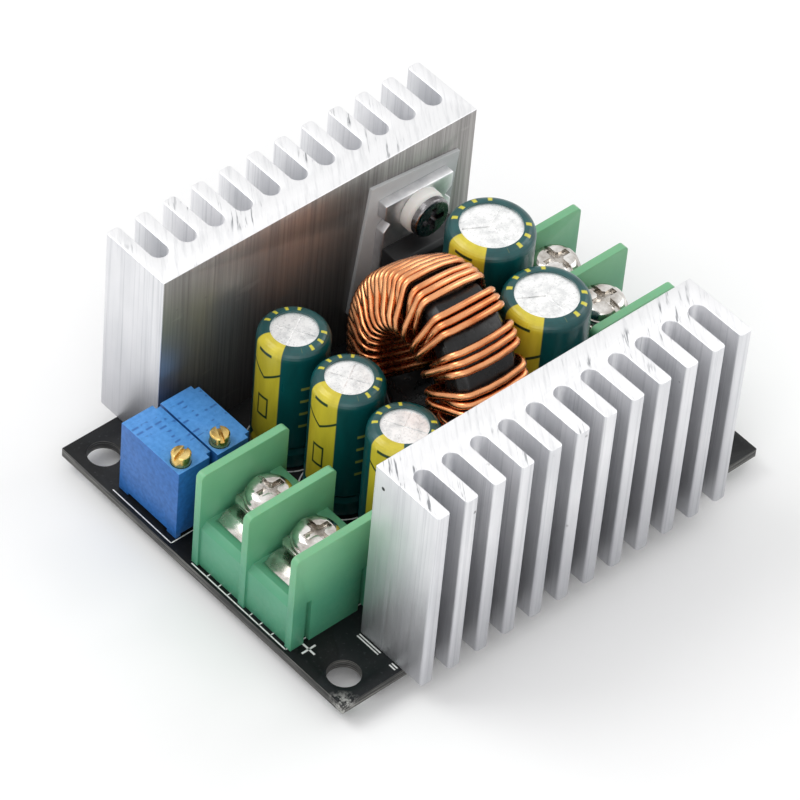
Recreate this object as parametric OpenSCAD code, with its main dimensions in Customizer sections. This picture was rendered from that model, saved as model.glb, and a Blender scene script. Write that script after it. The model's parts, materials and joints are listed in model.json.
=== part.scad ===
// Adjustable step-down converter module: a circuit board with a finned heatsink
// along each long side, screw terminals at both ends, a wound ring inductor,
// five electrolytic capacitors and two multi-turn trimmers.
// X runs along the heatsinks, the output terminals are at -X, the trimmer side
// is at +Y, and Z = 0 is the plane that the trimmed leads stand on.

/* [Board] */
// Length of the circuit board
board_l = 60; // [60:0.5:70]
// Width of the circuit board
board_w = 46.5; // [46:0.5:56]
// Thickness of the circuit board
board_t = 1.2; // [0.8:0.1:2.4]
// Diameter of the corner holes
corner_hole_d = 3.8; // [2.2:0.1:4.2]
// Corner hole centre to the short edge
corner_inset_x = 3.1; // [2.8:0.1:3.6]
// Corner hole centre to the long edge
corner_inset_y = 3.4; // [2.8:0.1:4]
// Length of trimmed lead below the board
lead_out = 1.6; // [1.5:0.1:3]

/* [Heatsinks] */
// Length of each heatsink along its fins' row
sink_l = 44.2; // [38:0.2:50]
// Height of each heatsink
sink_h = 25.8; // [24:0.2:36]
// Depth of each heatsink from flat face to fin tips
sink_d = 9.7; // [7:0.1:10]
// Thickness of the solid back
sink_back_t = 3.2; // [3.2:0.1:4.5]
// Number of fins
fin_count = 12; // [6:1:13]
// Thickness of each fin
fin_t = 1.7; // [1:0.1:2]
// Radius of the fin tip corners
fin_tip_r = 0.45; // [0.1:0.05:0.45]
// Reach of the fin tips past the board's long edges
sink_overhang = 3; // [2:0.1:6]
// Shift of the front heatsink along X
sink_shift_front = 0.3; // [-1:0.1:1]
// Shift of the rear heatsink along X
sink_shift_rear = -0.3; // [-1:0.1:1]

/* [Power devices] */
// Width of the metal tab
tab_w = 9.8; // [9.6:0.1:10.6]
// Thickness of the metal tab
tab_t = 1.3; // [1:0.1:1.4]
// Height from the tab's screw hole to the tab's top edge
tab_top = 2.6; // [2.6:0.1:3.4]
// Height from the tab's screw hole to the top of the moulded case
hole_to_case = 3.6; // [3.6:0.1:4.2]
// Height of the moulded case
case_h = 9; // [8:0.1:9.4]
// Depth of the moulded case in front of the tab
case_d = 3.1; // [2.6:0.1:3.4]
// Spacing of the device leads
device_lead_pitch = 2.54; // [2.3:0.02:2.8]
// Thickness of the insulating pads
pad_t = 0.45; // [0.2:0.05:0.6]
// Width of the insulating pads
pad_w = 13; // [11.5:0.1:14]
// Height of the insulating pads
pad_h = 18; // [17:0.1:19]
// Height from the tab's screw hole to the insulating pad's top edge
pad_top = 4.3; // [3.6:0.1:4.6]
// Length of bushing between tab and screw head
bushing_l = 1.6; // [1:0.1:2.6]
// Outer diameter of the bushing
bushing_d = 5.4; // [5.2:0.1:7]
// Thread diameter of the device screws
device_screw_d = 3; // [2.5:0.1:3]
// Head diameter of the device screws
device_head_d = 5; // [4.8:0.1:6]
// Head height of the device screws
device_head_h = 0.85; // [0.7:0.05:1.7]
// Place along X of the rear device's screw
device_x_rear = 12.4; // [8:0.1:13]
// Place along X of the front device's screw
device_x_front = 15; // [14:0.1:15.5]
// Height of the rear device's screw above the board
device_z_rear = 17.9; // [17:0.1:20]
// Height of the front device's screw above the board
device_z_front = 15.2; // [14.5:0.1:19]
// Angle at which the rear device was screwed down
device_tilt = 1.5; // [0:0.5:8]
// Angle at which the rear device's pad lies behind it
pad_tilt = 6.5; // [0:0.5:8]

/* [Trimmers] */
// Length of a trimmer case
trimmer_l = 9.53; // [9:0.01:10]
// Thickness of a trimmer case
trimmer_w = 4.83; // [4.4:0.01:4.9]
// Height of a trimmer case with its feet
trimmer_h = 10.03; // [8:0.01:12]
// Height of the feet under a trimmer case
trimmer_foot = 0.4; // [0.2:0.05:0.8]
// Diameter of the brass adjusting screw
trimmer_screw_d = 2.2; // [1.6:0.05:2.4]
// Height of the adjusting screw above the case
trimmer_screw_out = 1.4; // [0.8:0.1:2]
// Depth of the adjusting screw in the case
trimmer_screw_in = 4; // [2:0.1:6]
// Screw centre to the case's sides
trimmer_screw_inset = 1.45; // [1.4:0.05:1.8]
// Case side to the board's short edge
trimmer_edge_gap = 1.25; // [0.4:0.05:2]
// Space between the two trimmer cases
trimmer_gap = 0.25; // [0.1:0.05:0.6]
// Space between a trimmer and the rear heatsink
trimmer_sink_gap = 1.5; // [0.6:0.1:2]
// Set-back of the second trimmer
trimmer_stagger = 0.3; // [0:0.1:0.6]

/* [Terminals] */
// Spacing of the two poles
pole_pitch = 7.62; // [7.4:0.02:8]
// Thickness of the divider walls
wall_t = 0.95; // [0.8:0.05:1.1]
// Height of the divider walls
wall_h = 13.8; // [13:0.1:16]
// Length of the divider walls
wall_l = 12; // [12:0.1:12.4]
// Radius of the divider walls' upper corners
wall_r = 0.7; // [0.4:0.1:1.6]
// Height of the terminal body between the walls
block_h = 6.4; // [6:0.1:7.2]
// Set-back of the body's wire side from the wall ends
block_front = 0.3; // [0.2:0.1:0.5]
// Bevel along the body's upper edge on the wire side
block_bevel = 0.7; // [0.3:0.1:0.9]
// Set-back of the body's inner side from the wall ends
block_back = 0.9; // [0.6:0.1:1.2]
// Height of the ledge behind the screws
ledge_h = 8.4; // [7:0.1:9]
// Screw centre to the wire side's wall ends
pole_inset = 6.7; // [6.6:0.05:6.8]
// Wire side's wall ends to the board's short edge at the output
output_edge_gap = 0.6; // [0:0.05:0.8]
// Wire side's wall ends to the board's short edge at the input
input_edge_gap = 0.2; // [0:0.05:0.4]
// Place along Y of the output terminals
output_y = -6; // [-6.4:0.1:-5.6]
// Place along Y of the input terminals
input_y = -0.4; // [-0.8:0.1:0]
// Thread diameter of the terminal screws
pole_screw_d = 2.9; // [2.5:0.1:3]
// Head diameter of the terminal screws
pole_head_d = 5.2; // [4.6:0.1:5.4]
// Head height of the terminal screws
pole_head_h = 1.7; // [1.4:0.1:2]
// Length of the terminal screws under the head
pole_screw_l = 6; // [5.8:0.1:6.2]
// Side of the square clamp plates
clamp_side = 5.6; // [5.4:0.1:5.8]
// Thickness of the clamp plates
clamp_t = 0.6; // [0.5:0.05:0.8]
// Thickness of the round washers on the clamp plates
washer_t = 0.4; // [0.3:0.05:0.5]
// Open gap under the output clamp plates
output_clamp_gap = 0.8; // [0.6:0.1:1.4]
// Open gap under the input clamp plates
input_clamp_gap = 2.8; // [0.6:0.1:3]

/* [Capacitors] */
// Diameter of the output capacitors
output_cap_d = 8.1; // [6:0.1:8.4]
// Height of the output capacitors
output_cap_h = 17.3; // [11:0.1:20]
// Lead spacing of the output capacitors
output_cap_leads = 3.5; // [2.5:0.1:4]
// Spacing of the output capacitors along Y
output_cap_pitch = 8.9; // [8.6:0.1:9]
// Space between the output terminals and capacitors
output_cap_gap = 3.2; // [2.4:0.1:3.3]
// Diameter of the input capacitors
input_cap_d = 9.9; // [8:0.1:10]
// Height of the input capacitors
input_cap_h = 21.3; // [15:0.1:24]
// Lead spacing of the input capacitors
input_cap_leads = 5; // [3.5:0.1:5]
// Spacing of the input capacitors along Y
input_cap_pitch = 10.6; // [10.3:0.1:10.8]
// Space between the input terminals and the near input capacitor
input_cap_gap = 1; // [0.9:0.05:1.2]
// Height of the rear input capacitor above its seat
input_cap_lift = 1.2; // [0:0.1:2]
// Thickness of the printed sleeves
sleeve_t = 0.25; // [0.15:0.05:0.4]
// Width of the sleeve's rim on top of the can
sleeve_rim = 1.4; // [0.8:0.1:2]
// Diameter of the capacitor leads
cap_lead_d = 0.6; // [0.5:0.05:0.8]

/* [Inductor] */
// Outer diameter of the ring core
core_od = 22.9; // [20:0.1:23.4]
// Inner diameter of the ring core
core_id = 14.1; // [13.2:0.1:15]
// Width of the ring core
core_w = 7.6; // [6:0.1:7.6]
// Bevel on the core's edges
core_bevel = 0.8; // [0.4:0.1:1]
// Diameter of one copper strand
wire_d = 0.86; // [0.5:0.02:0.86]
// Strands wound side by side
strands = 3; // [1:1:3]
// Turns in the open part of the winding
open_turns = 7; // [3:1:7]
// Turns in the close part of the winding
close_turns = 8; // [3:1:8]
// Angle between open turns
open_step = 22; // [20:0.5:22.5]
// Angle between close turns
close_step = 14.4; // [14.4:0.1:15.5]
// Turn of the core's axis away from X
core_yaw = -11; // [-12:0.5:-8]
// Dip of the core's axis
core_pitch = 6.2; // [0:0.1:7]
// Place along X of the core
core_x = 1.05; // [0.8:0.05:1.05]
// Place along Y of the core
core_y = -1.7; // [-2.4:0.1:-1]
// Lowest point of the core above the board
core_lift = 1; // [0.6:0.1:2]

/* [Hidden] */
// Clearances
slip = 0.05;
lead_clear = 0.15;
solder_fit = 0.01;
tap_fit = 0.03;

// Levels
z_under = lead_out;
z_top = lead_out + board_t;

// Heatsinks
sink_tip_y = board_w / 2 + sink_overhang;
face_y = sink_tip_y - sink_d;
slot_w = (sink_l - fin_count * fin_t) / (fin_count - 1);
fin_pitch = fin_t + slot_w;
sink_x = [sink_shift_front, sink_shift_rear];

// Power devices: index 0 is at the front heatsink, index 1 at the rear one
device_x = [device_x_front, device_x_rear];
device_z = [z_top + device_z_front, z_top + device_z_rear];
device_turn = [0, device_tilt];
pad_turn = [0, pad_tilt];
tab_y = pad_t;
case_y = tab_y + tab_t;
device_lead_y = case_y + 1.1;
device_lead_w = 0.8;
device_lead_t = 0.5;
device_bend_z = z_top + 1.2;
case_bottom = hole_to_case + case_h;
collar_d = device_screw_d + 0.8;
head_y = case_y + bushing_l;
device_screw_grip = sink_back_t - 0.3;

// Trimmers: index 0 stands nearest the board's end
trimmer_x = [-board_l / 2 + trimmer_edge_gap + trimmer_w / 2,
             -board_l / 2 + trimmer_edge_gap + trimmer_w * 1.5 + trimmer_gap];
trimmer_y0 = face_y - trimmer_sink_gap - trimmer_l / 2;
trimmer_y = [trimmer_y0, trimmer_y0 - trimmer_stagger];
trimmer_pin_pitch = 2.54;
trimmer_pin_d = 0.5;
trimmer_slot_turn = [20, 65];

// Terminals, drawn with the wire side at x = 0 and the board's top at z = 0
contact_t = 1;
contact_z = block_h - 0.2;
contact_top = contact_z + contact_t;
contact_l = 7.4;
contact_w = 5.6;
contact_slope = 1.2;
contact_x = pole_inset - 4.7;
seat_gap = 0.25;
leg_w = 1.2;
leg_t = 0.9;
leg_x = contact_x + contact_l - leg_t;
well_d = pole_screw_d + 0.7;
well_floor = 0.8;
ledge_x = contact_x + contact_l + 0.15;
ledge_relief_d = pole_head_d + 1.4;
flange_t = 0.35;
terminal_end = [board_l / 2 - output_edge_gap, board_l / 2 - input_edge_gap];

// Capacitors
output_cap_x = -terminal_end[0] + wall_l + output_cap_gap + output_cap_d / 2;
output_cap_y = 0.25;
input_cap_x = terminal_end[1] - wall_l - input_cap_gap - input_cap_d / 2;
input_cap_y = -0.9;
rear_cap_shift = 1.45;
cap_at = [for (i = [1, 0, -1]) [output_cap_x, output_cap_y + i * output_cap_pitch],
          [input_cap_x + rear_cap_shift, input_cap_y + input_cap_pitch / 2],
          [input_cap_x, input_cap_y - input_cap_pitch / 2]];
cap_d = [output_cap_d, output_cap_d, output_cap_d, input_cap_d, input_cap_d];
cap_h = [output_cap_h, output_cap_h, output_cap_h, input_cap_h, input_cap_h];
cap_leads = [output_cap_leads, output_cap_leads, output_cap_leads, input_cap_leads, input_cap_leads];
cap_seat = 0.2;
cap_lift = [cap_seat, cap_seat, cap_seat, cap_seat + input_cap_lift, cap_seat];
seal_h = 2;
can_wall = 0.4;
shoulder_r = 0.9;
crimp_z = 2.5;
crimp_half = 0.6;
crimp_depth = 0.3;
score_w = 0.22;
score_depth = 0.15;

// Inductor
core_r = core_od / 2;
bore_r = core_id / 2;
core_z = z_top + core_lift + core_r * cos(core_pitch) + core_w / 2 * sin(core_pitch);
wire_gap = wire_d / 2 + 0.06;
path_w = core_w / 2 + wire_gap;
path_r = 1.3;
face_mid_r = (core_r + bore_r) / 2;
first_turn = 218;
strand_step_open = 5.01;
strand_step_close = 4.8;
layer_rise = 0.91;
turns = open_turns + close_turns;
// Angle that the wire gains across the rim
rim_drift = 6;
// Angles from the last turn to the leads, and between the leads
lead_lean = 12;
lead_step = 6.23;
// Share of the way to its next place that the wire has gone along a face
far_start = 0.25;
far_mid = 0.39;
far_end = 0.6;
lead_start = 0;
lead_mid = 0.39;
// Share of the upper layer's rise that is left halfway along a face
far_mid_layer = 0.62;
near_mid_layer = 0.46;
wire_sides = 6;

// Underside
chip_x = 1;
chip_y = -1;
chip_l = 5;
chip_w = 3.9;
chip_t = 1.3;
chip_legs = 4;
chip_leg_pitch = 1.27;
sense_resistor = [6.4, 2.6, 0.6];
sense_row_y = 4.6;
small_resistor = [1.6, 0.8, 0.45];
small_row_y = 3.9;
small_row_step = 2.4;
small_capacitor = [1.25, 2, 0.9];
side_capacitor_x = 4;
solder_h = 0.9;

$fn = 48;

// ---- helpers ----

// A flat outline stood on edge, drawn in X and Z, from y0 to y0 + t
module upright(y0, t) {
    translate([0, y0 + t, 0])
    rotate([90, 0, 0])
    linear_extrude(t) children();
}

module box_at(centre, size) {
    translate([centre[0] - size[0] / 2, centre[1] - size[1] / 2, centre[2]])
    cube(size);
}

function cap_lead_at(i) = [for (s = [-1, 1]) cap_at[i] + [s * cap_leads[i] / 2, 0]];
function trimmer_pin_at(i) = [for (s = [-1, 0, 1]) [trimmer_x[i], trimmer_y[i] + s * trimmer_pin_pitch]];
function turned(i, p) = [device_x[i] + p[0] * cos(device_turn[i]) + p[1] * sin(device_turn[i]),
                         device_z[i] - p[0] * sin(device_turn[i]) + p[1] * cos(device_turn[i])];
function device_side(i) = i == 0 ? 1 : -1;
function device_pin_x(i, s) =
    turned(i, [s * device_lead_pitch, -case_bottom - 1])[0];
function device_pin_at(i) = [for (s = [-1, 0, 1])
    [device_pin_x(i, s), device_side(i) * (device_lead_y - face_y)]];
function end_x(side) = terminal_end[side < 0 ? 0 : 1];
function leg_at(side) = [for (s = [-1, 1])
    let (p = [-end_x(side) + leg_x + leg_t / 2, (side < 0 ? output_y : -input_y) + s * pole_pitch / 2])
    side < 0 ? p : -p];

// ---- circuit board ----

module circuit_board() {
    color("#17191b")
    difference() {
        box_at([0, 0, z_under], [board_l, board_w, board_t]);
        for (sx = [-1, 1], sy = [-1, 1])
            translate([sx * (board_l / 2 - corner_inset_x), sy * (board_w / 2 - corner_inset_y), z_under - 1])
            cylinder(d = corner_hole_d, h = board_t + 2);
        lead_holes();
    }
}

module lead_hole(p, d) {
    translate([p[0], p[1], z_under - 1])
    cylinder(d = d + 2 * lead_clear, h = board_t + 2, $fn = 24);
}

module lead_holes() {
    for (i = [0:4], p = cap_lead_at(i)) lead_hole(p, cap_lead_d);
    for (i = [0:1], p = trimmer_pin_at(i)) lead_hole(p, trimmer_pin_d);
    for (i = [0:1], p = device_pin_at(i)) lead_hole(p, norm([device_lead_w, device_lead_t]));
    for (side = [-1, 1], p = leg_at(side)) lead_hole(p, norm([leg_w, leg_t]));
    for (p = strand_feet()) lead_hole(p, wire_d);
}

// ---- solder ----

module fillet_cone(p, d) {
    translate([p[0], p[1], z_under - solder_h])
    difference() {
        cylinder(d1 = d + 0.5, d2 = d + 1.3, h = solder_h, $fn = 24);
        translate([0, 0, -1])
        cylinder(d = d + 2 * solder_fit, h = solder_h + 2, $fn = 24);
    }
}

module solder_square(p, size) {
    translate([p[0], p[1], z_under - solder_h])
    difference() {
        cylinder(d1 = norm(size) + 0.4, d2 = norm(size) + 1.2, h = solder_h, $fn = 24);
        box_at([0, 0, -1], [size[0] + 2 * solder_fit, size[1] + 2 * solder_fit, solder_h + 2]);
    }
}

module solder_joints() {
    color("#b9bcc0") {
        for (i = [0:4], p = cap_lead_at(i)) fillet_cone(p, cap_lead_d);
        for (i = [0:1], p = trimmer_pin_at(i)) fillet_cone(p, trimmer_pin_d);
        for (i = [0:1], p = device_pin_at(i)) solder_square(p, [device_lead_w, device_lead_t]);
        for (side = [-1, 1], p = leg_at(side)) solder_square(p, [leg_t, leg_w]);
        strand_solder();
    }
}

// Run-together joints round the winding's strand ends
module strand_solder() {
    difference() {
        for (p = strand_feet())
            translate([p[0], p[1], z_under - solder_h])
            cylinder(d1 = wire_d + 0.5, d2 = wire_d + 1, h = solder_h, $fn = 24);
        for (p = strand_feet())
            translate([p[0], p[1], z_under - solder_h - 1])
            cylinder(d = wire_d + 2 * solder_fit, h = solder_h + 2, $fn = 24);
    }
}

// ---- heatsinks ----

// Comb outline of the extrusion: flat face on y = 0, fin tips at y = -sink_d
module sink_outline() {
    difference() {
        translate([-sink_l / 2, -sink_back_t - slot_w / 2]) square([sink_l, sink_back_t + slot_w / 2]);
        for (i = [0:fin_count - 2])
            translate([-sink_l / 2 + fin_t + slot_w / 2 + i * fin_pitch, -sink_back_t - slot_w / 2])
            circle(d = slot_w, $fn = 32);
    }
    for (i = [0:fin_count - 1])
        translate([-sink_l / 2 + i * fin_pitch, 0]) fin_outline();
}

module fin_outline() {
    root_y = -sink_back_t - slot_w / 2;
    translate([0, -sink_d + fin_tip_r]) square([fin_t, sink_d - fin_tip_r + root_y]);
    translate([fin_tip_r, -sink_d]) square([fin_t - 2 * fin_tip_r, fin_tip_r]);
    for (x = [fin_tip_r, fin_t - fin_tip_r])
        translate([x, -sink_d + fin_tip_r]) circle(r = fin_tip_r, $fn = 24);
}

// The front heatsink; i picks the device whose screw it holds
module heatsink(i) {
    difference() {
        translate([sink_x[i], -face_y, z_top])
        linear_extrude(sink_h) sink_outline();
        translate([device_x[i], -face_y + 1, device_z[i]])
        rotate([90, 0, 0])
        cylinder(d = device_screw_d + 2 * tap_fit, h = device_screw_grip + 1.2);
    }
}

module heatsink_front() color("#d3d5d8") heatsink(0);
module heatsink_rear() color("#d3d5d8") mirror([0, 1, 0]) heatsink(1);

// ---- power devices, drawn at the front and mirrored to the rear ----

module at_device(i) {
    translate([device_x[i], -face_y, device_z[i]])
    rotate([0, device_turn[i], 0]) children();
}

module facing(i) {
    if (i == 0) children();
    else mirror([0, 1, 0]) children();
}

// Tab with its screw hole, side notches and the plate behind the case
module device_tab(i) {
    color("#c9ccd0") facing(i) at_device(i)
    difference() {
        upright(tab_y, tab_t) tab_outline();
        bore_y(collar_d + 2 * slip);
    }
}

module tab_outline() {
    notch = 0.9;
    notch_z = tab_top - 3;
    difference() {
        translate([-tab_w / 2, -case_bottom]) square([tab_w, case_bottom + tab_top]);
        for (s = [-1, 1])
            translate([s * tab_w / 2, notch_z])
            polygon([[-s * notch, 0], [s, notch + 1], [s, -notch - 1]]);
    }
}

module bore_y(d) {
    translate([0, 20, 0]) rotate([90, 0, 0]) cylinder(d = d, h = 40);
}

// Moulded case, bevelled on its front edges
module device_case(i) {
    bevel = 0.5;
    color("#1f2022") facing(i) at_device(i)
    rotate([90, 0, 90])
    translate([0, 0, -tab_w / 2])
    linear_extrude(tab_w)
    polygon([[case_y, -hole_to_case], [case_y + case_d - bevel, -hole_to_case],
             [case_y + case_d, -hole_to_case - bevel], [case_y + case_d, -case_bottom + bevel],
             [case_y + case_d - bevel, -case_bottom], [case_y, -case_bottom]]);
}

// Three leads: leant with the device, then upright through the board
module device_leads(i) {
    pin_top = device_bend_z;
    color("#b5b8bc") facing(i)
    for (s = [-1, 0, 1]) {
        hull() {
            at_device(i)
            box_at([s * device_lead_pitch, device_lead_y, -case_bottom - 0.1],
                   [device_lead_w, device_lead_t, 0.1]);
            box_at([device_pin_x(i, s), -face_y + device_lead_y, pin_top - 0.1],
                   [device_lead_w, device_lead_t, 0.1]);
        }
        box_at([device_pin_x(i, s), -face_y + device_lead_y, 0],
               [device_lead_w, device_lead_t, pin_top - 0.1]);
    }
}

module insulating_pad(i) {
    color("#a9adb1") facing(i) at_device(i)
    rotate([0, pad_turn[i] - device_turn[i], 0])
    difference() {
        box_at([0, pad_t / 2, pad_top - pad_h], [pad_w, pad_t, pad_h]);
        bore_y(device_screw_d + 0.4);
    }
}

// Shoulder bushing: a collar in the tab's hole and a thick flange under the head
module bushing(i) {
    color("#f0f0ee") facing(i) at_device(i)
    rotate([-90, 0, 0])
    rotate_extrude()
    polygon([[device_screw_d / 2 + 2 * slip, tab_y + slip], [collar_d / 2, tab_y + slip],
             [collar_d / 2, case_y], [bushing_d / 2, case_y],
             [bushing_d / 2, head_y - 0.4], [bushing_d / 2 - 0.4, head_y],
             [device_screw_d / 2 + 2 * slip, head_y]]);
}

// Low round head screw with a cross recess, along +Y from the heatsink
module device_screw(i) {
    edge_r = 0.35;
    color("#5b5d60") facing(i) at_device(i)
    difference() {
        rotate([-90, 0, 0])
        rotate_extrude()
        polygon(concat([[0, -device_screw_grip], [device_screw_d / 2 - 0.4, -device_screw_grip],
                        [device_screw_d / 2, -device_screw_grip + 0.4],
                        [device_screw_d / 2, head_y], [device_head_d / 2, head_y]],
                       [for (a = [0:15:90]) [device_head_d / 2 - edge_r + edge_r * cos(a),
                                             head_y + device_head_h - edge_r + edge_r * sin(a)]],
                       [[0, head_y + device_head_h]]));
        translate([0, head_y + device_head_h, 0]) rotate([-90, 0, 0]) cross_recess(device_head_d * 0.62, 0.6);
    }
}

// Cross recess that opens upward, its mouth at z = 0
module cross_recess(span, depth) {
    arm = span * 0.24;
    for (a = [0, 90])
        rotate([0, 0, a])
        box_at([0, 0, -depth], [span, arm, depth + 1]);
    translate([0, 0, -depth])
    cylinder(d = arm * 1.9, h = depth + 1, $fn = 24);
}

// ---- trimmers ----

// Blue case on two feet, its top end notched at the screw
module trimmer_case(i) {
    color("#2f6fd0")
    translate([trimmer_x[i], trimmer_y[i], z_top])
    difference() {
        box_at([0, 0, 0], [trimmer_w, trimmer_l, trimmer_h]);
        box_at([0, 0, -1], [trimmer_w - 1.4, trimmer_l + 2, trimmer_foot + 1]);
        box_at([0, 0, -1], [trimmer_w + 2, trimmer_l - 3, trimmer_foot + 1]);
        translate([-trimmer_w / 2 + trimmer_screw_inset, -trimmer_l / 2 + trimmer_screw_inset,
                   trimmer_h - trimmer_screw_in])
        cylinder(d = trimmer_screw_d + 2 * slip, h = trimmer_screw_in + 1);
        for (s = [-1, 0, 1])
            translate([0, s * trimmer_pin_pitch, -1])
            cylinder(d = trimmer_pin_d + 2 * solder_fit, h = trimmer_foot + 2.5, $fn = 24);
        for (s = [-1, 1])
            translate([trimmer_w / 2, s * trimmer_l / 2, trimmer_h - 1])
            cube([1.2, 1.2, 4], center = true);
    }
}

// Slotted brass screw that turns in the case
module trimmer_screw(i) {
    slot = [3, 0.45, 0.6];
    color("#d8b25a")
    translate([trimmer_x[i] - trimmer_w / 2 + trimmer_screw_inset,
               trimmer_y[i] - trimmer_l / 2 + trimmer_screw_inset,
               z_top + trimmer_h - trimmer_screw_in + slip])
    difference() {
        rotate_extrude()
        polygon([[0, 0], [trimmer_screw_d / 2, 0],
                 [trimmer_screw_d / 2, trimmer_screw_in + trimmer_screw_out - slip - 0.15],
                 [trimmer_screw_d / 2 - 0.15, trimmer_screw_in + trimmer_screw_out - slip],
                 [0, trimmer_screw_in + trimmer_screw_out - slip]]);
        rotate([0, 0, trimmer_slot_turn[i]])
        box_at([0, 0, trimmer_screw_in + trimmer_screw_out - slip - slot[2]],
               [slot[0], slot[1], slot[2] + 1]);
    }
}

module trimmer_pins(i) {
    color("#c9ccd0")
    for (p = trimmer_pin_at(i))
        translate([p[0], p[1], 0])
        cylinder(d = trimmer_pin_d, h = z_top + trimmer_foot + 1.5, $fn = 24);
}

// ---- terminals, drawn for the output end and turned round for the input end ----

module at_end(side) {
    if (side < 0) translate([-end_x(side), output_y, z_top]) children();
    else rotate([0, 0, 180]) translate([-end_x(side), -input_y, z_top]) children();
}

module wall_outline() {
    translate([wall_r, 0]) square([wall_l - 2 * wall_r, wall_h]);
    square([wall_l, wall_h - wall_r]);
    for (x = [wall_r, wall_l - wall_r])
        translate([x, wall_h - wall_r]) circle(r = wall_r, $fn = 32);
}

// Moulded block: three dividers, a bevelled body with a sunk seat for each
// contact, a well under each screw, a raised ledge behind it and two joining
// grooves in one outer wall
module terminal_block(side) {
    body_l = wall_l - block_front - block_back;
    groove_inset = 1.8;
    groove_w = 0.8;
    groove_h = 6.4;
    groove_depth = 0.7;
    color("#6fb583") at_end(side)
    difference() {
        union() {
            for (k = [-1, 0, 1]) upright(k * pole_pitch - wall_t / 2, wall_t) wall_outline();
            upright(-pole_pitch, 2 * pole_pitch)
            polygon([[block_front, 0], [block_front + body_l, 0], [block_front + body_l, block_h],
                     [block_front + block_bevel, block_h], [block_front, block_h - block_bevel]]);
            translate([ledge_x, -pole_pitch, 0])
            cube([wall_l - block_back - ledge_x, 2 * pole_pitch, ledge_h]);
        }
        for (s = [-1, 1])
            translate([0, s * pole_pitch / 2, 0]) {
                translate([contact_x - seat_gap, -contact_w / 2 - slip, contact_z])
                cube([contact_l + seat_gap + slip, contact_w + 2 * slip, 20]);
                translate([pole_inset, 0, well_floor]) cylinder(d = well_d, h = 20);
                translate([pole_inset, 0, block_h]) cylinder(d = ledge_relief_d, h = 20);
                translate([leg_x - slip, -leg_w / 2 - slip, -1])
                cube([leg_t + 2 * slip, leg_w + 2 * slip, 20]);
            }
        for (x = [groove_inset, wall_l - groove_inset - groove_w])
            translate([x, -pole_pitch - wall_t / 2 - 1, -1])
            cube([groove_w, 1 + groove_depth, 1 + groove_h]);
    }
}

// Tinned contact, sloped on its wire side, with a tapped hole and a leg through
// the block and the board
module contacts(side) {
    color("#d7d9db") at_end(side)
    for (s = [-1, 1])
        translate([0, s * pole_pitch / 2, 0])
        difference() {
            union() {
                upright(-contact_w / 2, contact_w)
                polygon([[contact_x, contact_z], [contact_x + contact_l, contact_z],
                         [contact_x + contact_l, contact_top], [contact_x + contact_slope, contact_top]]);
                translate([leg_x, -leg_w / 2, -z_top]) cube([leg_t, leg_w, contact_z + z_top]);
            }
            translate([pole_inset, 0, contact_z - 1])
            cylinder(d = pole_screw_d + 2 * slip, h = contact_t + 2);
        }
}

function clamp_gap(side) = side < 0 ? output_clamp_gap : input_clamp_gap;

// Square clamp plate with its round washer, k = -1 or 1 for the pole
module clamp_plate(side, k) {
    corner = 0.5;
    washer_inset = 0.6;
    h = clamp_side / 2;
    color("#c4c7ca") at_end(side)
    translate([pole_inset, k * pole_pitch / 2, contact_top + clamp_gap(side)])
    difference() {
        union() {
            linear_extrude(clamp_t)
            polygon([[-h + corner, -h], [h - corner, -h], [h, -h + corner], [h, h - corner],
                     [h - corner, h], [-h + corner, h], [-h, h - corner], [-h, -h + corner]]);
            cylinder(d = clamp_side - washer_inset, h = clamp_t + washer_t);
        }
        translate([0, 0, -1]) cylinder(d = pole_screw_d + 0.3, h = clamp_t + washer_t + 2);
    }
}

// Pan head screw with a slot and a cross
module pole_screw(side, k) {
    round_r = 1;
    head_r = pole_head_d / 2;
    color("#c9cbcd") at_end(side)
    translate([pole_inset, k * pole_pitch / 2, contact_top + clamp_gap(side) + clamp_t + washer_t])
    difference() {
        rotate_extrude()
        polygon(concat([[0, -pole_screw_l], [pole_screw_d / 2 - 0.4, -pole_screw_l],
                        [pole_screw_d / 2, -pole_screw_l + 0.4], [pole_screw_d / 2, 0],
                        [head_r + 0.2, 0], [head_r + 0.2, flange_t], [head_r, flange_t]],
                       [for (a = [0:15:90]) [head_r - round_r + round_r * cos(a),
                                             pole_head_h - round_r + round_r * sin(a)]],
                       [[0, pole_head_h]]));
        translate([0, 0, pole_head_h]) cross_recess(pole_head_d * 0.64, 0.9);
        rotate([0, 0, 90]) box_at([0, 0, pole_head_h - 0.5], [pole_head_d + 1, 0.7, 1]);
    }
}

// ---- capacitors ----

// Points of the groove that is rolled round a can of radius r, going up
function crimp_points(r) = [[r, crimp_z - crimp_half], [r - crimp_depth, crimp_z], [r, crimp_z + crimp_half]];

module at_cap(i) translate([cap_at[i][0], cap_at[i][1], z_top + cap_lift[i]]) children();

// Aluminium can, open below for its seal, crimped over it and scored on top
module can(i) {
    r = cap_d[i] / 2 - sleeve_t - slip;
    top = cap_h[i] - sleeve_t;
    arms = i < 3 ? 4 : 3;
    color("#dfe1e3") at_cap(i)
    difference() {
        rotate_extrude()
        polygon(concat([[0, seal_h], [r - can_wall, seal_h], [r - can_wall, 0], [r, 0]],
                       crimp_points(r),
                       [for (a = [0:15:90]) [r - shoulder_r + shoulder_r * cos(a),
                                             top - shoulder_r + shoulder_r * sin(a)]],
                       [[0, top]]));
        for (a = [0:arms - 1])
            rotate([0, 0, 30 + a * 360 / arms])
            translate([0, -score_w / 2, top - score_depth])
            cube([cap_d[i] / 2 - sleeve_rim - 0.3, score_w, 1]);
    }
}

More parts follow.
